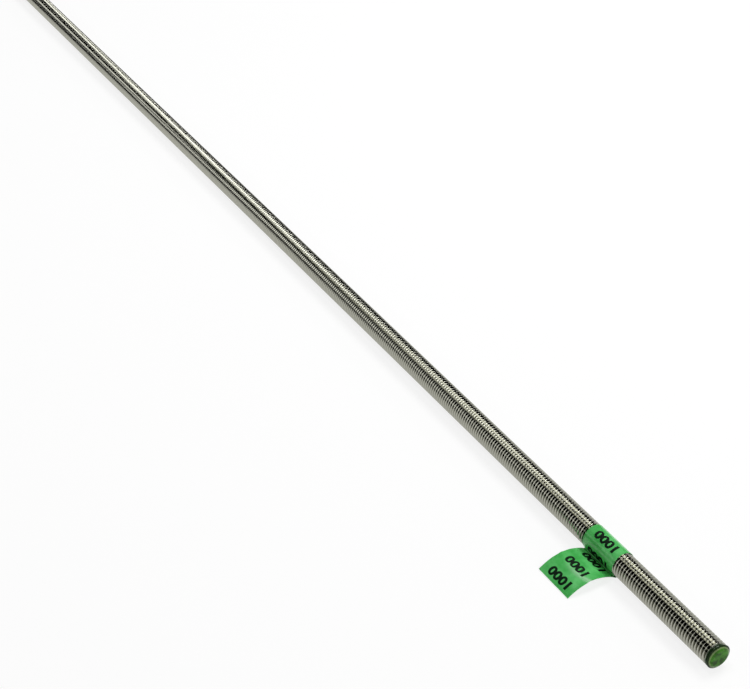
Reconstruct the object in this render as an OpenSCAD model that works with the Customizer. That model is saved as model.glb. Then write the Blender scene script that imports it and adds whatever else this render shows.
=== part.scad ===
// Threaded rod, one metre long, with a colour mark painted on one end and a flag of printed tape beside it.
// The rod runs along +X from the centre of its plain end. It lies on a surface with +Z up, and the flag
// reaches out towards -Y until its free edge rests on that surface.

/* [Rod] */
// Length of the rod, from end face to end face
rod_length = 1000; // [250:10:2000]
// Diameter over the crests of the thread
thread_d = 10; // [6:0.5:16]
// Distance from one crest of the thread to the next
thread_pitch = 1.5; // [1:0.05:2]
// Length of the chamfer at each end, along the rod
end_chamfer = 1; // [0.3:0.1:1.5]
// How much the chamfer takes off the radius
chamfer_depth = 1.6; // [0.5:0.1:2]

/* [End paint] */
// Thickness of the paint on the marked end
paint_thickness = 0.08; // [0.05:0.01:0.3]

/* [Label] */
// Width of the tape, along the rod
tape_width = 19; // [16:0.5:40]
// Thickness of the tape, with its adhesive
tape_thickness = 0.15; // [0.1:0.01:0.3]
// Play between the crests of the thread and the tape
tape_play = 0.02; // [0.01:0.01:0.1]
// Distance from the painted end to the label
label_from_end = 57.3; // [10:0.1:150]
// Distance of the fold from under the middle of the rod, where the two ends of the tape meet
fold_out = 3; // [2.6:0.1:4.5]
// Angle at which the flag rises from the fold
flag_rise = 34.5; // [25:0.5:45]
// Radius of the curl in the flag
curl_r = 19.5; // [16:0.5:30]

/* [Print] */
// Height of the printed figures
figure_h = 4; // [2:0.1:5]
// Width of one figure
figure_w = 2.5; // [2:0.1:3]
// Space between two figures
figure_gap = 1; // [0.4:0.1:1.5]
// Width of the line that draws a figure
stroke_w = 0.7; // [0.4:0.05:0.9]
// Distance from one printed row to the next, along the tape
row_pitch = 8.1; // [6:0.1:12]
// Distance from the fold to the middle of the first row, up the rod
first_row = 3.9; // [2:0.1:6]
// Thickness of the ink
ink_thickness = 0.03; // [0.02:0.01:0.05]

/* [Hidden] */
$fn = 48;

// The metric thread: a sharp triangle with sides at 60 degrees, cut off flat at the crest and the root
thread_r = thread_d / 2;
thread_depth = thread_pitch * sqrt(3) / 2 * 17 / 24;
root_r = thread_r - thread_depth;
crest_flat = thread_pitch / 8;
root_flat = thread_pitch / 6;
groove_w = thread_pitch - crest_flat;
flank = (groove_w - root_flat) / 2;
groove_count = floor((rod_length - 2 * end_chamfer - crest_flat) / thread_pitch);
first_groove = (rod_length - groove_count * thread_pitch + crest_flat) / 2;
face_r = thread_r - chamfer_depth;

// The tape: round the crests, straight from the rod to the fold on both sides, and a flag made of its two
// ends, back to back
ring_r = thread_r + tape_play;
ring_outer_r = ring_r + tape_thickness;
label_x = rod_length - label_from_end;
surface_z = -(ring_outer_r + ink_thickness);

// The section of the tape, as [distance towards the flag, height] from the middle of the rod. Its straight
// stretches leave the ring from the middle of its wall, one level and one at leave_angle below the side,
// and the ring laps over the start of both.
leave_r = (ring_r + ring_outer_r) / 2;
leave_inner_r = leave_r - tape_thickness;
leave_angle = 2 * atan2(leave_r, fold_out) - 90;
leave_point = leave_r * [cos(leave_angle), -sin(leave_angle)];
wall_clear = sqrt(ring_outer_r * ring_outer_r - leave_inner_r * leave_inner_r);
lap_angle = acos(leave_r / ring_outer_r) / 2;
fold = [fold_out, -leave_r];
inner_fold = fold * leave_inner_r / leave_r;
ring_turn = 270 + leave_angle;
curl_centre = inner_fold + curl_r * [sin(flag_rise), -cos(flag_rise)];
flag_over_r = curl_r + tape_thickness;
flag_under_r = curl_r - tape_thickness;
flag_fall = acos((surface_z - curl_centre.y) / flag_under_r);
flag_root_a = 90 + flag_rise;
ring_length = arc_length(ring_outer_r, ring_turn);
loop_length = ring_length + 2 * fold_out;
flag_length = arc_length(curl_r, flag_rise + flag_fall);

// The print: rows of plain figures, spaced evenly along the whole tape
figures = [1, 0, 0, 0];
figure_step = figure_w + figure_gap;
row_length = len(figures) * figure_step - figure_gap;
row_x = label_x - (tape_width - row_length) / 2;
ring_rows = rows_on(first_row, fold_out, fold_out + ring_length);
over_rows = rows_on(-first_row, 0, flag_length);
under_rows = rows_on(first_row - loop_length, 0, flag_length);

function arc_length(r, angle) = r * angle * PI / 180;

function arc_angle(r, length) = length / r * 180 / PI;

// Middles of the printed rows that lie whole on a stretch of tape, one row_pitch apart. A row that bends
// over the end of a stretch is left out.
function rows_on(first, start, end) = [
    for (s = first + row_pitch * ceil((start + figure_h / 2 - first) / row_pitch); s + figure_h / 2 <= end;
        s = s + row_pitch) s
];

// Half the section of the rod: x is the radius and y is the distance along the rod. The true thread is one
// helix. Here each turn of it is a closed groove, with the section of the true thread.
module rod_section() {
    groove = [[thread_r, 0], [root_r, flank], [root_r, flank + root_flat], [thread_r, groove_w]];
    polygon([
        [0, 0],
        [face_r, 0],
        [thread_r, end_chamfer],
        for (i = [0 : groove_count - 1], p = groove) p + [0, first_groove + i * thread_pitch],
        [thread_r, rod_length - end_chamfer],
        [face_r, rod_length],
        [0, rod_length],
    ]);
}

module threaded_rod() {
    color("#a5a296")
    rotate([0, 90, 0])
    rotate_extrude()
    rod_section();
}

// A coat of even thickness over one end face and its chamfer
module end_paint() {
    slope = sqrt(end_chamfer * end_chamfer + chamfer_depth * chamfer_depth);
    out = end_chamfer / slope;
    along = chamfer_depth / slope;
    color("#2f7a33")
    translate([rod_length, 0, 0])
    rotate([0, 90, 0])
    rotate_extrude()
    polygon([
        [0, 0],
        [face_r, 0],
        [thread_r, -end_chamfer],
        [thread_r + paint_thickness * out, paint_thickness * along - end_chamfer],
        [face_r + paint_thickness * (1 - along) / out, paint_thickness],
        [0, paint_thickness],
    ]);
}

// Sets children on the rod at x. They are drawn with x towards the flag, y up and z towards the plain end.
module across_rod(x) {
    translate([x, 0, 0])
    rotate([90, 0, -90])
    children();
}

// A strip bent to radius r, from angle a, as wide as it is long along the rod
module bent_strip(r, thickness, a, turn, width) {
    rotate_extrude(start = a, angle = turn)
    translate([r, 0])
    square([thickness, width]);
}

// The two straight stretches, from inside the wall of the ring to the fold
module straight_stretches() {
    inner_point = leave_point * leave_inner_r / leave_r;
    linear_extrude(height = tape_width)
    polygon([
        [0, -leave_r],
        fold,
        leave_point,
        inner_point + (inner_fold - inner_point) * wall_clear / fold_out,
        inner_fold,
        [wall_clear, -leave_inner_r],
    ]);
}

module label() {
    color("#3fae49")
    across_rod(label_x) {
        bent_strip(ring_r, tape_thickness, -leave_angle - lap_angle, ring_turn + 2 * lap_angle, tape_width);
        straight_stretches();
        translate(curl_centre)
        bent_strip(flag_under_r, 2 * tape_thickness, 90 - flag_fall, flag_rise + flag_fall, tape_width);
    }
}

// Ink on a surface of radius r: its middle at angle a, height h round the surface and width w along the rod
module ink(r, a, z, h, w, thickness) {
    turn = arc_angle(r, h);
    translate([0, 0, z])
    bent_strip(r, thickness, a - turn / 2, turn, w);
}

// One plain figure: a bar for 1 and a frame for 0
module figure(value, r, a, z) {
    if (value == 1)
        ink(r, a, z + (figure_w - stroke_w) / 2, figure_h, stroke_w, ink_thickness);
    else
        difference() {
            ink(r, a, z, figure_h, figure_w, ink_thickness);
            translate([0, 0, stroke_w])
            ink(r - ink_thickness, a, z, figure_h - 2 * stroke_w, figure_w - 2 * stroke_w, 3 * ink_thickness);
        }
}

// One row of figures along the rod, on a surface of radius r, with its middle at angle a
module printed_row(r, a) {
    for (i = [0 : len(figures) - 1]) figure(figures[i], r, a, i * figure_step);
}

module label_print() {
    color("#1c211c")
    across_rod(row_x) {
        for (s = ring_rows) printed_row(ring_outer_r, arc_angle(ring_outer_r, s - fold_out) - leave_angle);
        translate(curl_centre) {
            for (s = over_rows) printed_row(flag_over_r, flag_root_a - arc_angle(flag_over_r, s));
            for (s = under_rows)
                printed_row(flag_under_r - ink_thickness, flag_root_a - arc_angle(flag_under_r, s));
        }
    }
}

threaded_rod();
end_paint();
label();
label_print();
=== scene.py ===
"""Threaded rod, one metre of M10, with one end painted green and a flag of printed green tape near it.

The rod runs along +X from the centre of its plain end and lies on the floor with +Z up. The tape's flag
reaches out towards -Y. Everything is in metres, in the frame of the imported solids.
"""
import math

import bmesh
import bpy
from mathutils import Matrix, Vector, noise


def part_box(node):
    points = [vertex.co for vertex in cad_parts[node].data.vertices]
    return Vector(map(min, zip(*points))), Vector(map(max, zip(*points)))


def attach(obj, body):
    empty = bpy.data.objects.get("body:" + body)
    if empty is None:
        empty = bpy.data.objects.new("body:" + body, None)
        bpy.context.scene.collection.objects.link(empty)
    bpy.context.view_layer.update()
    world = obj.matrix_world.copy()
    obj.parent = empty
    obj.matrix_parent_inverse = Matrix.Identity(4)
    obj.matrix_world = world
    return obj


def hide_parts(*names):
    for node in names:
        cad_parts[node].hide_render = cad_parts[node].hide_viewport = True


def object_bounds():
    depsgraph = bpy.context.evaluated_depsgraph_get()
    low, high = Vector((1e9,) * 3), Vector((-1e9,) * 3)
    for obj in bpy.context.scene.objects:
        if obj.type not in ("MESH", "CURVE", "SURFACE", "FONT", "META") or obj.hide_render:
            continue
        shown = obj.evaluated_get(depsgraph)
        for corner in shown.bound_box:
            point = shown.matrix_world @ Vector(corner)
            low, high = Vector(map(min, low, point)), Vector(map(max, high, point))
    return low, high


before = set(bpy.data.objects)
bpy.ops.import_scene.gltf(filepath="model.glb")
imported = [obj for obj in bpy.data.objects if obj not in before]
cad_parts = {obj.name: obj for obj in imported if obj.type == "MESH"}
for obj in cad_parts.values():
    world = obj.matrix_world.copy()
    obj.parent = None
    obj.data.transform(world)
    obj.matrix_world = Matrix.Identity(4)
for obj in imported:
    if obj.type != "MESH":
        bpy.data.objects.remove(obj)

cad_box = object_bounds()

MM = 0.001
BODY = "root"

# The rod. Its length and diameter are the solids' own, and the rest is the metric coarse thread.
ROD_START, ROD_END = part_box("threaded_rod")[0].x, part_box("threaded_rod")[1].x
THREAD_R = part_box("threaded_rod")[1].z
ROD_MIDDLE = Vector(((ROD_START + ROD_END) / 2, 0, 0))
PITCH = 1.5 * MM
THREAD_DEPTH = PITCH * math.sqrt(3) / 2 * 17 / 24
ROOT_R = THREAD_R - THREAD_DEPTH
CREST_FLAT = PITCH / 8
ROOT_FLAT = PITCH / 6
FLANK = (PITCH - CREST_FLAT - ROOT_FLAT) / 2
CHAMFER = 1.0 * MM
FACE_R = THREAD_R - 1.6 * MM
# The rolled crest: half of its flat, how far its shoulders drop, and how much large faces lead the shading
CREST_HALF = 0.07 * MM
SHOULDER_DROP = 0.05 * MM
CREST_WEIGHT = 100
STEPS_PER_TURN = 24
# Edges that turn more than this stay sharp: just under the angle between flank and crest
SHARP = math.radians(58)

# The paint: its thickness, how much of that the brush took away in places, and how wide those places are
PAINT_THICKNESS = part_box("end_paint")[1].x - ROD_END
BRUSH_DEPTH = 0.35 * PAINT_THICKNESS
BRUSH_WIDTH = 0.9 * MM
PAINT_RINGS = 6
PAINT_STEPS = 96
PAINT_SHARP = math.radians(50)

# The tape. Its path is a section of the label, drawn on its sticky side as (distance towards -Y, height).
TAPE_FROM, TAPE_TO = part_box("label")[0].x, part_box("label")[1].x
TAPE_MIDDLE = (TAPE_FROM + TAPE_TO) / 2
TAPE_THICKNESS = 0.15 * MM
GLUE_GAP = 0.01 * MM
RING_R = THREAD_R + 0.02 * MM
FOLD_OUT = 3.0 * MM
FLAG_RISE = math.radians(34.5)
CURL_R = 19.5 * MM
INK_THICKNESS = 0.03 * MM
SURFACE_Z = cad_box[0][2]
FOLD_RADIUS = 0.35 * MM
HEEL_RADIUS = 1.0 * MM
# How far the tape leans along the rod for each metre that it reaches away from it
SKEW = 0.05
TAPE_COLUMNS = 40
ROD_ARC_STEP, CURL_ARC_STEP = 5, 1.5
LINE_STEPS = 3
# Handling has lifted the flag from this reach on, fully after FREE_OVER more, in swells this wide and high
FREE_FROM = 7.0 * MM
FREE_OVER = 5.0 * MM
SWELL_WIDTH = 6.0 * MM
SWELL = 0.3 * MM
# Its crease: how far out it lies, how wide and high it is, how much it bows, how strong its painted
# highlight is in the middle of the tape, and over what width that highlight fades in from nothing
CREASE_REACH = 17.0 * MM
CREASE_WIDTH = 0.9 * MM
CREASE_RISE = 0.25 * MM
CREASE_BOW = 0.02 / MM
CREASE_HIGHLIGHT = 0.6
CREASE_HIGHLIGHT_OVER = 8.0 * MM

# The print
ROW_TEXT = "1000"
ROW_PITCH = 8.1 * MM
FIRST_ROW = 3.3 * MM
FIGURE_HEIGHT = 4.0 * MM
ROW_LENGTH = 12.2 * MM
# How much bolder than the plain face the figures are, as a share of their size
BOLD = 0.045
# Tape hidden in the tuck of the fold, which brings the rows on the rod nearer to it
TUCK = 2.0 * MM
# Strips that the figures are cut into, so that they bend with the tape
INK_CUT = 0.3 * MM

# The floor: how white the paper is, how much of its light and shadow shows, and what lifts that to white
PAPER = 0.9
SHADE = 0.2
PAPER_LIFT = 0.825
FLOOR_HALF = 15
# The surround: pale up to the first sine of height over the horizon, and dark from the second one
PALE_TO, DARK_FROM = 0.02, 0.06

# The camera: its seat from the centre of the painted end, its turn, how far it looks down, and its lens
CAMERA_SEAT = (0.334751, -0.322525, 0.420878)
CAMERA_TURN, CAMERA_DOWN = math.radians(61.002), math.radians(32.94)
CAMERA_LENS, CAMERA_SENSOR = 83.707, 36

# The studio: flat soft panels, each from its low corner to its high one, facing the rod, and its radiance.
# Where two overlap, one is a centimetre off, because panels in one plane hide each other in metal.
PANELS = [
    ("over_strip_back", (0.3, 0.42, 1.2), (0.9, 1.14, 1.2), 8.4),
    ("over_strip", (0.3, -0.3, 1.2), (0.9, 0.06, 1.2), 5.37),
    ("over_beyond_front", (2.1, -0.9, 1.2), (3.0, -0.42, 1.2), 2.28),
    ("over_beyond", (2.1, 0.3, 1.21), (3.0, 0.9, 1.21), 1.81),
    ("over_beyond_back", (1.5, 0.66, 1.2), (4.5, 1.14, 1.2), 3.63),
    ("front_far", (-4.0, -1.6, 0.8), (1.0, -1.6, 1.18), 1.62),
    ("back_far", (-4.0, 1.8, 0.15), (-2.0, 1.8, 1.18), 8.14),
    ("back_near", (1.0, 1.8, 0.8), (2.0, 1.8, 1.18), 3.23),
    ("end_front", (3.5, -1.0, 0.02), (3.5, 0.5, 1.18), 0.43),
    ("end_front_low", (3.49, -1.0, 0.02), (3.49, 0.0, 0.7), 0.96),
    ("end_front_high", (3.49, -1.6, 0.7), (3.49, -0.5, 1.18), 1.65),
    ("end_back", (3.5, 1.0, 0.3), (3.5, 1.8, 1.18), 1.72),
]


# ---------------------------------------------------------------- small tools

def linear(code):
    """An sRGB hex colour as linear RGBA."""
    values = [int(code[i:i + 2], 16) / 255 for i in (1, 3, 5)]
    return [v / 12.92 if v <= 0.04045 else ((v + 0.055) / 1.055) ** 2.4 for v in values] + [1.0]


def add_node(tree, kind, inputs=None, **settings):
    """Adds a node. Each input is given a value, or the socket that feeds it."""
    made = tree.nodes.new(kind)
    for key, value in settings.items():
        setattr(made, key, value)
    for key, value in (inputs or {}).items():
        if isinstance(value, bpy.types.NodeSocket):
            tree.links.new(value, made.inputs[key])
        else:
            made.inputs[key].default_value = value
    return made


def new_material(name):
    """An empty material and its tree."""
    material = bpy.data.materials.new(name)
    material.use_nodes = True
    material.node_tree.nodes.clear()
    return material, material.node_tree


def radius_from_axis(tree, place):
    """Distance from the rod's axis."""
    across = add_node(tree, "ShaderNodeVectorMath", {0: place, 1: (0, 1, 1)}, operation="MULTIPLY")
    length = add_node(tree, "ShaderNodeVectorMath", {0: across.outputs[0]}, operation="LENGTH")
    return length.outputs["Value"]


def finish_material(tree, shader):
    add_node(tree, "ShaderNodeOutputMaterial", {"Surface": shader.outputs[0]})


def mesh_object(name, bm):
    """Puts a bmesh into a new object at the origin."""
    mesh = bpy.data.meshes.new(name)
    bm.to_mesh(mesh)
    bm.free()
    obj = bpy.data.objects.new(name, mesh)
    bpy.context.scene.collection.objects.link(obj)
    return obj


def baked_copy(obj):
    """The object's mesh with its modifiers applied. The object itself goes."""
    graph = bpy.context.evaluated_depsgraph_get()
    mesh = bpy.data.meshes.new_from_object(obj.evaluated_get(graph))
    bpy.data.objects.remove(obj)
    return mesh


def as_piece(obj, material, node):
    """Dresses a finished piece and seats it on the rod's body in place of its solid."""
    obj.data.materials.clear()
    obj.data.materials.append(material)
    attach(obj, BODY)
    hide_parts(node)


def spun(bm, profile, steps):
    """Turns a profile of (x, radius) points once round the rod's axis and closes it."""
    verts = [bm.verts.new((x, 0, r)) for x, r in profile]
    edges = [bm.edges.new(pair) for pair in zip(verts, verts[1:])]
    bmesh.ops.spin(bm, geom=verts + edges, cent=(0, 0, 0), axis=(1, 0, 0), dvec=(0, 0, 0),
                   angle=2 * math.pi, steps=steps, use_merge=True, use_duplicate=False)
    bmesh.ops.remove_doubles(bm, verts=bm.verts, dist=1e-7)
    bmesh.ops.recalc_face_normals(bm, faces=bm.faces)


def shade(bm, angle=SHARP):
    """Smooth faces, with every edge that turns more than the angle left sharp."""
    for face in bm.faces:
        face.smooth = True
    for edge in bm.edges:
        edge.smooth = edge.is_manifold and edge.calc_face_angle(0) < angle


# ---------------------------------------------------------------- the rod

def thread_turn():
    """One turn of the right-hand thread: the metric section, its crest eased, swept along its helix."""
    bm = bmesh.new()
    shoulder = CREST_FLAT / 2 + SHOULDER_DROP * FLANK / THREAD_DEPTH
    root = CREST_FLAT / 2 + FLANK
    section = [(-CREST_HALF, THREAD_R), (CREST_HALF, THREAD_R), (shoulder, THREAD_R - SHOULDER_DROP),
               (root, ROOT_R), (PITCH - root, ROOT_R), (PITCH - shoulder, THREAD_R - SHOULDER_DROP),
               (PITCH - CREST_HALF, THREAD_R)]
    verts = [bm.verts.new((ROD_START + x - 2 * PITCH, 0, r)) for x, r in section]
    edges = [bm.edges.new(pair) for pair in zip(verts, verts[1:])]
    bmesh.ops.spin(bm, geom=verts + edges, cent=(0, 0, 0), axis=(1, 0, 0),
                   dvec=(PITCH / STEPS_PER_TURN, 0, 0), angle=2 * math.pi, steps=STEPS_PER_TURN,
                   use_duplicate=False)
    return mesh_object("thread_turn", bm)


def sawn_bar():
    """The turn repeated over the whole length, sawn off square at both ends."""
    turn = thread_turn()
    turns = turn.modifiers.new("turns", "ARRAY")
    turns.use_relative_offset = False
    turns.use_constant_offset = True
    turns.constant_offset_displace = (PITCH, 0, 0)
    turns.count = int((ROD_END - ROD_START) / PITCH) + 5
    bm = bmesh.new()
    bm.from_mesh(baked_copy(turn))
    bmesh.ops.remove_doubles(bm, verts=bm.verts, dist=1e-6)
    for x, side in ((ROD_START, -1), (ROD_END, 1)):
        bmesh.ops.bisect_plane(bm, geom=bm.verts[:] + bm.edges[:] + bm.faces[:],
                               plane_co=(x, 0, 0), plane_no=(side, 0, 0), clear_outer=True)
    bmesh.ops.holes_fill(bm, edges=[e for e in bm.edges if e.is_boundary], sides=0)
    bmesh.ops.recalc_face_normals(bm, faces=bm.faces)
    return mesh_object("threaded_bar", bm)


def turned_blank():
    """A bar of the rod's length with its two chamfers, wider than the thread everywhere else."""
    bm = bmesh.new()
    clear, over = 0.02 * MM, THREAD_R + 1 * MM
    spun(bm, [(ROD_START, 0), (ROD_START, FACE_R), (ROD_START + CHAMFER, THREAD_R),
              (ROD_START + CHAMFER + clear, over), (ROD_END - CHAMFER - clear, over),
              (ROD_END - CHAMFER, THREAD_R), (ROD_END, FACE_R), (ROD_END, 0)], 3 * STEPS_PER_TURN)
    return mesh_object("turned_blank", bm)


def threaded_bar():
    """The rod: what the threaded bar and the chamfered blank have in common."""
    bar, blank = sawn_bar(), turned_blank()
    cut = bar.modifiers.new("chamfers", "BOOLEAN")
    cut.operation = "INTERSECT"
    cut.solver = "EXACT"
    cut.object = blank
    bm = bmesh.new()
    bm.from_mesh(baked_copy(bar))
    bpy.data.objects.remove(blank)
    bmesh.ops.dissolve_degenerate(bm, edges=bm.edges, dist=1e-7)
    shade(bm)
    bar = mesh_object("sharp_bar", bm)
    # flanks and crests keep their own direction, and the narrow faces between them turn from one to the next
    level = bar.modifiers.new("level", "WEIGHTED_NORMAL")
    level.mode = "FACE_AREA"
    level.weight = CREST_WEIGHT
    level.keep_sharp = True
    mesh = baked_copy(bar)
    bar = bpy.data.objects.new("threaded_bar", mesh)
    bpy.context.scene.collection.objects.link(bar)
    return bar


# ---------------------------------------------------------------- the paint

def end_paint_coat():
    """A brushed-on coat over the end face and its chamfer, a little uneven, thinning out at its rim."""
    slope = math.hypot(CHAMFER, THREAD_R - FACE_R)
    out, along = CHAMFER / slope, (THREAD_R - FACE_R) / slope
    t = PAINT_THICKNESS
    rim = (ROD_END - CHAMFER + t * along, THREAD_R + t * out)
    brow = (ROD_END + t, FACE_R + t * (1 - along) / out)
    face = [(ROD_END + t, brow[1] * i / PAINT_RINGS) for i in range(PAINT_RINGS + 1)]
    side = [tuple(a + (b - a) * i / PAINT_RINGS for a, b in zip(brow, rim))
            for i in range(1, PAINT_RINGS + 1)]
    bm = bmesh.new()
    spun(bm, face + side + [(ROD_END - CHAMFER, THREAD_R), (ROD_END, FACE_R), (ROD_END, 0)], PAINT_STEPS)
    for vert in bm.verts:
        lift = vert.co.x - ROD_END + max(0, vert.co.yz.length - FACE_R) * CHAMFER / (THREAD_R - FACE_R)
        if lift > t / 2:
            vert.co.x -= BRUSH_DEPTH * (0.5 + 0.5 * noise.noise(vert.co / BRUSH_WIDTH))
    shade(bm, PAINT_SHARP)
    return mesh_object("end_paint_coat", bm)


# ---------------------------------------------------------------- the tape

def polar(centre, radius, angle):
    return centre[0] + radius * math.cos(angle), centre[1] + radius * math.sin(angle)


def tape_path():
    """The tape's sticky side from the flag's free edge, over the flag, round the rod and back under it.

    Each stretch is an arc (centre, radius, first angle, turn), or a line (start, end)."""
    leave_r = RING_R + TAPE_THICKNESS / 2
    leave_inner_r = leave_r - TAPE_THICKNESS
    leave = 2 * math.atan2(leave_r, FOLD_OUT) - math.pi / 2
    fold = (FOLD_OUT * leave_inner_r / leave_r, -leave_inner_r)
    curl = (fold[0] + CURL_R * math.sin(FLAG_RISE), fold[1] - CURL_R * math.cos(FLAG_RISE))
    tip = math.asin((SURFACE_Z - curl[1]) / (CURL_R - TAPE_THICKNESS))
    over_r, under_r = CURL_R + GLUE_GAP / 2, CURL_R - GLUE_GAP / 2
    # the fold on the printed side, where the front of the loop turns back into the flag
    across = curl[0] * math.cos(-leave) + curl[1] * math.sin(-leave)
    over_end = math.acos((RING_R + FOLD_RADIUS - across) / (over_r + FOLD_RADIUS)) - leave
    fold_centre = polar(curl, over_r + FOLD_RADIUS, over_end)
    fold_turn = (math.pi - leave) - (over_end + math.pi)
    # the heel, where the level stretch under the rod turns up into the flag
    heel_z = -RING_R + HEEL_RADIUS
    heel_x = curl[0] - math.sqrt((under_r + HEEL_RADIUS) ** 2 - (heel_z - curl[1]) ** 2)
    heel_end = math.atan2(heel_z - curl[1], heel_x - curl[0])
    return [
        ("arc", curl, over_r, tip, over_end - tip),
        ("arc", fold_centre, FOLD_RADIUS, over_end + math.pi, fold_turn),
        ("line", polar(fold_centre, FOLD_RADIUS, math.pi - leave), polar((0, 0), RING_R, -leave)),
        ("arc", (0, 0), RING_R, -leave, 1.5 * math.pi + leave),
        ("line", (0, -RING_R), (heel_x, -RING_R)),
        ("arc", (heel_x, heel_z), HEEL_RADIUS, 1.5 * math.pi, heel_end - math.pi / 2),
        ("arc", curl, under_r, heel_end, tip - heel_end),
    ]


def stretch_length(stretch):
    if stretch[0] == "arc":
        return abs(stretch[2] * stretch[4])
    return math.dist(stretch[1], stretch[2])


def on_tape(path, s, lift):
    """The point at distance s along the tape and at height lift over its sticky side."""
    for stretch in path:
        length = stretch_length(stretch)
        if s <= length or stretch is path[-1]:
            break
        s -= length
    if stretch[0] == "arc":
        _, centre, radius, first, turn = stretch
        side = math.copysign(1, turn)
        return polar(centre, radius + side * lift, first + turn * s / length)
    _, (x0, z0), (x1, z1) = stretch
    dx, dz = (x1 - x0) / length, (z1 - z0) / length
    return x0 + dx * s + dz * lift, z0 + dz * s - dx * lift


def lean(bm):
    """The tape went on a little askew, so it leans further along the rod the further it reaches from it."""
    skew = Matrix.Identity(4)
    skew[0][1] = -SKEW
    bmesh.ops.transform(bm, matrix=skew, verts=bm.verts)


def handle(bm):
    """The flag has been handled: its plies swell a little together, and a soft crease runs across it. The
    crease is kept on the mesh as a value of its own, for a painted highlight on the film there."""
    crease_highlight_layer = bm.verts.layers.float.new("crease")
    for vert in bm.verts:
        x, reach = vert.co.x - TAPE_MIDDLE, -vert.co.y
        free = min(max((reach - FREE_FROM) / FREE_OVER, 0), 1)
        swell = 0.5 + 0.5 * noise.noise(Vector((x, reach, 0)) / SWELL_WIDTH)
        crease = math.exp(-((reach - CREASE_REACH + CREASE_BOW * x * x) / CREASE_WIDTH) ** 2)
        vert.co.z += free * (SWELL * swell + CREASE_RISE * crease)
        vert[crease_highlight_layer] = free * crease * min(max(CREASE_HIGHLIGHT + x / CREASE_HIGHLIGHT_OVER, 0), 1)


def label_tape(path):
    """One strip of tape, folded round the rod and back on itself, made stretch by stretch."""
    bm = bmesh.new()
    x, z = on_tape(path, 0, 0)
    verts = [bm.verts.new((TAPE_FROM + (TAPE_TO - TAPE_FROM) * i / TAPE_COLUMNS, -x, z))
             for i in range(TAPE_COLUMNS + 1)]
    end = verts + [bm.edges.new(pair) for pair in zip(verts, verts[1:])]
    for stretch in path:
        if stretch[0] == "arc":
            _, centre, radius, first, turn = stretch
            step = CURL_ARC_STEP if radius > 2 * THREAD_R else ROD_ARC_STEP
            steps = max(4, round(abs(math.degrees(turn)) / step))
            end = bmesh.ops.spin(bm, geom=end, cent=(0, -centre[0], centre[1]), axis=(-1, 0, 0),
                                 dvec=(0, 0, 0), angle=turn, steps=steps,
                                 use_duplicate=False)["geom_last"]
        else:
            _, (x0, z0), (x1, z1) = stretch
            for _ in range(LINE_STEPS):
                edges = [g for g in end if isinstance(g, bmesh.types.BMEdge)]
                end = bmesh.ops.extrude_edge_only(bm, edges=edges)["geom"]
                end = [g for g in end if not isinstance(g, bmesh.types.BMFace)]
                bmesh.ops.translate(bm, vec=(0, -(x1 - x0) / LINE_STEPS, (z1 - z0) / LINE_STEPS),
                                    verts=[g for g in end if isinstance(g, bmesh.types.BMVert)])
    bmesh.ops.remove_doubles(bm, verts=bm.verts, dist=1e-8)
    bm.normal_update()
    return bm


def printed_side_out(bm):
    """Gives the strip its thickness, on the side that is printed."""
    bmesh.ops.recalc_face_normals(bm, faces=bm.faces)
    top = max(bm.faces, key=lambda f: f.calc_center_median().z)
    if top.normal.z < 0:
        bmesh.ops.reverse_faces(bm, faces=bm.faces)
    bmesh.ops.solidify(bm, geom=bm.faces[:], thickness=-TAPE_THICKNESS)
    bmesh.ops.recalc_face_normals(bm, faces=bm.faces)


def label():
    bm = label_tape(tape_path())
    printed_side_out(bm)
    handle(bm)
    lean(bm)
    shade(bm)
    return mesh_object("label_tape", bm)


# ---------------------------------------------------------------- the print

def figure_row():
    """One row of plain figures as a thin solid: x along the row, y up the figures, z through the ink."""
    curve = bpy.data.curves.new("figures", "FONT")
    curve.body = ROW_TEXT
    curve.align_x, curve.align_y = "CENTER", "CENTER"
    curve.resolution_u = 4
    curve.size = 1
    curve.offset = BOLD
    curve.extrude = 0.5
    obj = bpy.data.objects.new("figures", curve)
    bpy.context.scene.collection.objects.link(obj)
    mesh = baked_copy(obj)
    bm = bmesh.new()
    bm.from_mesh(mesh)
    bmesh.ops.remove_doubles(bm, verts=bm.verts, dist=1e-5)
    low = [min(v.co[i] for v in bm.verts) for i in range(3)]
    high = [max(v.co[i] for v in bm.verts) for i in range(3)]
    size = (ROW_LENGTH, FIGURE_HEIGHT, 1)
    for vert in bm.verts:
        vert.co = [(vert.co[i] - (low[i] + high[i]) / 2) / (high[i] - low[i]) * size[i] for i in range(3)]
    for i in range(1, int(FIGURE_HEIGHT / INK_CUT)):
        bmesh.ops.bisect_plane(bm, geom=bm.verts[:] + bm.edges[:] + bm.faces[:], dist=1e-8,
                               plane_co=(0, -FIGURE_HEIGHT / 2 + i * INK_CUT, 0), plane_no=(0, 1, 0))
    bmesh.ops.recalc_face_normals(bm, faces=bm.faces)
    mesh = bpy.data.meshes.new("figure_row")
    bm.to_mesh(mesh)
    bm.free()
    return mesh


def label_figures():
    """The rows of figures, evenly spaced along the whole strip, laid on its printed side."""
    path = tape_path()
    length = sum(stretch_length(stretch) for stretch in path)
    fold_at = stretch_length(path[0])
    row = figure_row()
    bm = bmesh.new()
    s = FIRST_ROW
    while s + FIGURE_HEIGHT / 2 < length + TUCK:
        known = set(bm.verts)
        bm.from_mesh(row)
        middle = s - TUCK if s > fold_at else s
        for vert in [v for v in bm.verts if v not in known]:
            lift = TAPE_THICKNESS + (INK_THICKNESS if vert.co.z > 0 else -INK_THICKNESS / 5)
            x, z = on_tape(path, middle - vert.co.y, lift)
            vert.co = (TAPE_MIDDLE - vert.co.x, -x, z)
        s += ROW_PITCH
    handle(bm)
    lean(bm)
    bmesh.ops.recalc_face_normals(bm, faces=bm.faces)
    return mesh_object("label_figures", bm)


# ---------------------------------------------------------------- materials

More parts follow.
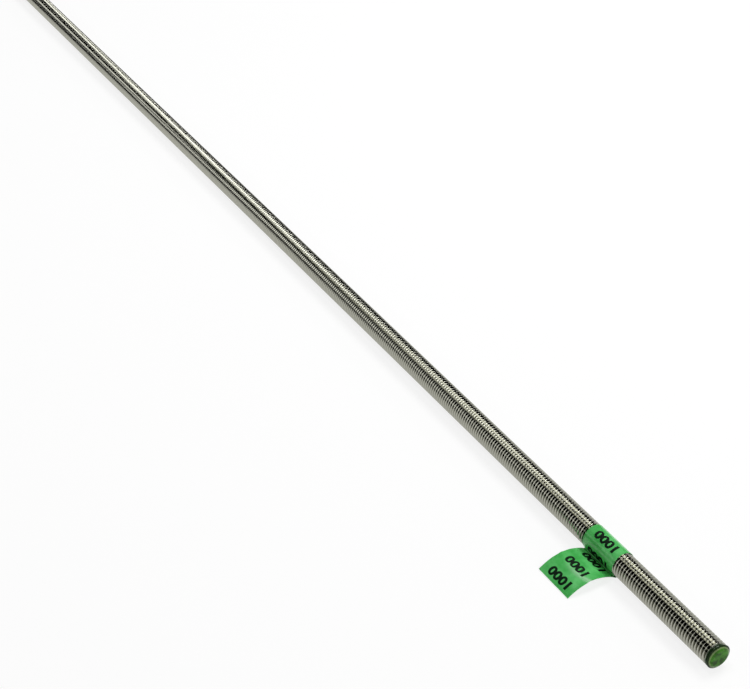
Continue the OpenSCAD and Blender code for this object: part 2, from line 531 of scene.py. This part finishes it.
def rolled_stainless():
    """Stainless steel, thread rolled cold and left bright. Its colour is painted shade that darkens from the
    crests into the roots of the thread, and the end shows green where paint ran into the last turn."""
    material, tree = new_material("rolled_stainless_steel")
    place = add_node(tree, "ShaderNodeTexCoord").outputs["Object"]
    # painted shade in the grooves: the colour darkens from the crests down into the roots
    height = add_node(tree, "ShaderNodeMapRange", {"Value": radius_from_axis(tree, place),
                      "From Min": ROOT_R, "From Max": THREAD_R})
    # patches of handling and oil, about 4 mm across
    patches = add_node(tree, "ShaderNodeTexNoise", {"Vector": place, "Scale": 250, "Detail": 4})
    colour = add_node(tree, "ShaderNodeMix", {0: height.outputs[0], 6: linear("#64645a"),
                      7: linear("#b0b0a4")}, data_type="RGBA")
    rough = add_node(tree, "ShaderNodeMapRange", {"Value": patches.outputs[0], "From Min": 0.3,
                     "From Max": 0.7, "To Min": 0.08, "To Max": 0.14})
    # paint in the last turn, with an uneven edge
    edge = add_node(tree, "ShaderNodeTexNoise", {"Vector": place, "Scale": 600, "Detail": 2})
    along = add_node(tree, "ShaderNodeSeparateXYZ", {0: place})
    wander = add_node(tree, "ShaderNodeMath", {0: edge.outputs[0], 1: 0.8 * MM, 2: along.outputs[0]},
                      operation="MULTIPLY_ADD")
    film = add_node(tree, "ShaderNodeMapRange", {"Value": wander.outputs[0],
                    "From Min": ROD_END - 2.1 * MM, "From Max": ROD_END - 1.5 * MM})
    colour = add_node(tree, "ShaderNodeMix", {0: film.outputs[0], 6: colour.outputs[2],
                      7: linear("#2c4a26")}, data_type="RGBA")
    metallic = add_node(tree, "ShaderNodeMapRange", {"Value": film.outputs[0], "To Min": 1.0, "To Max": 0.0})
    shader = add_node(tree, "ShaderNodeBsdfPrincipled", {"Base Color": colour.outputs[2],
                      "Metallic": metallic.outputs[0], "Roughness": rough.outputs[0]})
    finish_material(tree, shader)
    return material


def brushed_enamel():
    """Green spirit enamel, brushed on: a low gloss, darker where it pools. Across the chamfer it turns to a
    pale olive band, a painted highlight, and further out to a dark band, painted shade."""
    material, tree = new_material("brushed_green_enamel")
    place = add_node(tree, "ShaderNodeTexCoord").outputs["Object"]
    # brush marks and pools about 2.5 mm across
    pools = add_node(tree, "ShaderNodeTexNoise", {"Vector": place, "Scale": 400, "Detail": 3})
    blend = add_node(tree, "ShaderNodeMapRange", {"Value": pools.outputs[0], "From Min": 0.38,
                     "From Max": 0.62})
    colour = add_node(tree, "ShaderNodeMix", {0: blend.outputs[0], 6: linear("#284f14"),
                      7: linear("#4c8e2c")}, data_type="RGBA")
    # each band, first a painted highlight and then painted shade, starts this far outside the flat face, and
    # covers this share of the one before
    for start, most, paint in ((0.5 * MM, 0.6, "#94a674"), (0.95 * MM, 1, "#1c3010")):
        share = add_node(tree, "ShaderNodeMapRange", {"Value": radius_from_axis(tree, place), "To Max": most,
                         "From Min": FACE_R + start, "From Max": FACE_R + start + 0.2 * MM})
        colour = add_node(tree, "ShaderNodeMix", {0: share.outputs[0], 6: colour.outputs[2],
                          7: linear(paint)}, data_type="RGBA")
    bump = add_node(tree, "ShaderNodeBump", {"Height": pools.outputs[0], "Strength": 0.6,
                    "Distance": 0.15 * MM})
    shader = add_node(tree, "ShaderNodeBsdfPrincipled", {"Base Color": colour.outputs[2],
                      "Roughness": 0.3, "IOR": 1.5, "Specular IOR Level": 0.12, "Normal": bump.outputs[0]})
    finish_material(tree, shader)
    return material


def calendered_film():
    """Soft PVC label film, calendered: an even satin green with a faint orange peel from its glue."""
    material, tree = new_material("calendered_pvc_film")
    place = add_node(tree, "ShaderNodeTexCoord").outputs["Object"]
    # the glue's orange peel, about 1 mm across, and cloudy colour, about 6 mm across
    peel = add_node(tree, "ShaderNodeTexNoise", {"Vector": place, "Scale": 900, "Detail": 2})
    cloud = add_node(tree, "ShaderNodeTexNoise", {"Vector": place, "Scale": 160, "Detail": 3})
    blend = add_node(tree, "ShaderNodeMapRange", {"Value": cloud.outputs[0], "From Min": 0.35,
                     "From Max": 0.65})
    colour = add_node(tree, "ShaderNodeMix", {0: blend.outputs[0], 6: linear("#45b954"),
                      7: linear("#68d676")}, data_type="RGBA")
    # painted highlight: the film is mixed towards pale green along the crease
    crease = add_node(tree, "ShaderNodeAttribute", attribute_name="crease")
    pale = add_node(tree, "ShaderNodeMath", {0: crease.outputs["Fac"], 1: 0.55}, operation="MULTIPLY")
    colour = add_node(tree, "ShaderNodeMix", {0: pale.outputs[0], 6: colour.outputs[2],
                      7: linear("#c4f0c8")}, data_type="RGBA")
    bump = add_node(tree, "ShaderNodeBump", {"Height": peel.outputs[0], "Strength": 0.25,
                    "Distance": 0.05 * MM})
    shader = add_node(tree, "ShaderNodeBsdfPrincipled", {"Base Color": colour.outputs[2],
                      "Roughness": 0.24, "IOR": 1.52, "Normal": bump.outputs[0]})
    finish_material(tree, shader)
    return material


def screen_ink():
    """Black solvent ink, screen printed: matt, with pinholes too fine to show, so drawn as faint patches."""
    material, tree = new_material("screen_printed_ink")
    place = add_node(tree, "ShaderNodeTexCoord").outputs["Object"]
    patches = add_node(tree, "ShaderNodeTexNoise", {"Vector": place, "Scale": 1500, "Detail": 2})
    colour = add_node(tree, "ShaderNodeMix", {0: patches.outputs[0], 6: linear("#03180a"),
                      7: linear("#062410")}, data_type="RGBA")
    shader = add_node(tree, "ShaderNodeBsdfPrincipled", {"Base Color": colour.outputs[2], "Roughness": 0.6,
                      "IOR": 1.5, "Specular IOR Level": 0.1})
    finish_material(tree, shader)
    return material


def seen_directly(tree):
    """1 where the eye, or a reflection in metal, gloss or glass, meets the background, and 0 elsewhere."""
    rays = add_node(tree, "ShaderNodeLightPath").outputs
    seen = add_node(tree, "ShaderNodeMath", {0: rays["Is Camera Ray"], 1: rays["Is Glossy Ray"]},
                    operation="ADD")
    return add_node(tree, "ShaderNodeMath", {0: seen.outputs[0], 1: rays["Is Transmission Ray"]},
                    operation="ADD", use_clamp=True).outputs[0]


def floor_paper():
    """White background paper, matt. What the eye, the metal and the gloss see of it is lifted to white and
    keeps the shadow faint."""
    material, tree = new_material("white_background_paper")
    paper = add_node(tree, "ShaderNodeBsdfDiffuse", {"Color": (PAPER, PAPER, PAPER, 1)})
    shaded = add_node(tree, "ShaderNodeBsdfDiffuse", {"Color": (SHADE, SHADE, SHADE, 1)})
    glow = add_node(tree, "ShaderNodeEmission", {"Strength": PAPER_LIFT})
    lifted = add_node(tree, "ShaderNodeAddShader", {0: shaded.outputs[0], 1: glow.outputs[0]})
    both = add_node(tree, "ShaderNodeMixShader", {0: seen_directly(tree), 1: paper.outputs[0],
                    2: lifted.outputs[0]})
    finish_material(tree, both)
    return material


# ---------------------------------------------------------------- studio

def floor():
    bm = bmesh.new()
    bmesh.ops.create_grid(bm, x_segments=1, y_segments=1, size=FLOOR_HALF,
                          matrix=Matrix.Translation((ROD_MIDDLE.x, 0, SURFACE_Z)))
    obj = mesh_object("floor", bm)
    obj.data.materials.append(floor_paper())


def panel(name, low, high, radiance):
    """A soft panel between two corners of an upright or level rectangle, facing the rod."""
    low, high = Vector(low), Vector(high)
    middle, size = (low + high) / 2, high - low
    flat = min(range(3), key=lambda i: size[i])
    first, second = (i for i in range(3) if i != flat)
    back = Vector([math.copysign(1, (middle - ROD_MIDDLE)[i]) if i == flat else 0 for i in range(3)])
    along = Vector([i == first for i in range(3)])
    light = bpy.data.lights.new(name, "AREA")
    light.shape = "RECTANGLE"
    light.size, light.size_y = size[first], size[second]
    light.energy = radiance * math.pi * light.size * light.size_y
    obj = bpy.data.objects.new(name, light)
    obj.visible_camera = False
    obj.matrix_world = (Matrix.Translation(middle)
                        @ Matrix((along, back.cross(along), back)).transposed().to_4x4())
    bpy.context.scene.collection.objects.link(obj)


def surround():
    """A dark studio with a pale strip round its horizon, so that the paper seems to go on."""
    world = bpy.data.worlds.new("studio_surround")
    world.use_nodes = True
    tree = world.node_tree
    tree.nodes.clear()
    way = add_node(tree, "ShaderNodeTexCoord").outputs["Generated"]
    height = add_node(tree, "ShaderNodeSeparateXYZ", {0: way}).outputs["Z"]
    pale = add_node(tree, "ShaderNodeMapRange", {"Value": height, "From Min": PALE_TO,
                    "From Max": DARK_FROM, "To Min": PAPER_LIFT, "To Max": 0})
    level = add_node(tree, "ShaderNodeMath", {0: seen_directly(tree), 1: pale.outputs[0]},
                     operation="MULTIPLY")
    sky = add_node(tree, "ShaderNodeBackground", {"Color": linear("#ffffff"), "Strength": level.outputs[0]})
    add_node(tree, "ShaderNodeOutputWorld", {"Surface": sky.outputs[0]})
    bpy.context.scene.world = world


def lights():
    for made in PANELS:
        panel(*made)


def camera():
    """Looks down along the rod from beyond its painted end."""
    data = bpy.data.cameras.new("camera")
    data.lens, data.sensor_width, data.clip_start = CAMERA_LENS, CAMERA_SENSOR, 0.01
    obj = bpy.data.objects.new("camera", data)
    obj.rotation_euler = (math.pi / 2 - CAMERA_DOWN, 0, CAMERA_TURN)
    obj.location = Vector((ROD_END, 0, 0)) + Vector(CAMERA_SEAT)
    bpy.context.scene.collection.objects.link(obj)
    bpy.context.scene.camera = obj
    bpy.context.scene.view_settings.view_transform = "Standard"


as_piece(threaded_bar(), rolled_stainless(), "threaded_rod")
as_piece(end_paint_coat(), brushed_enamel(), "end_paint")
as_piece(label(), calendered_film(), "label")
as_piece(label_figures(), screen_ink(), "label_print")
floor()
surround()
lights()
camera()
